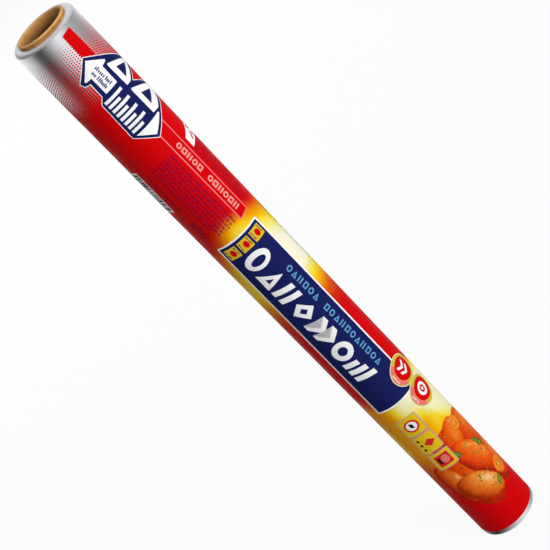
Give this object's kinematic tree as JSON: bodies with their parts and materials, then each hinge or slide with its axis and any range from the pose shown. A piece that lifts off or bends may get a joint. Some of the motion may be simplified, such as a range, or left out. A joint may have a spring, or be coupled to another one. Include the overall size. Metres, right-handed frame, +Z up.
{
  "type": "aluminium foil roll",
  "caption": "Roll of household aluminium foil on an open spiral-wound cardboard tube, wrapped in a printed label sheet with a glued lap; it stands on its end.",
  "frame": {"origin": "middle of the cardboard tube's lower end, on the surface that the roll stands on", "axes": "+Z up the roll's axis, towards the end that the label print starts from; the label's front faces -Y and its glued lap is at +Y"},
  "size_m": [0.0412, 0.0414, 0.443],
  "materials": {
    "core_card": "matte",
    "foil": "satin",
    "label": "gloss"
  },
  "bodies": {
    "root": {"core_tube": "core_card", "foil_roll": "foil", "label_sleeve": "label"}
  },
  "joints": []
}
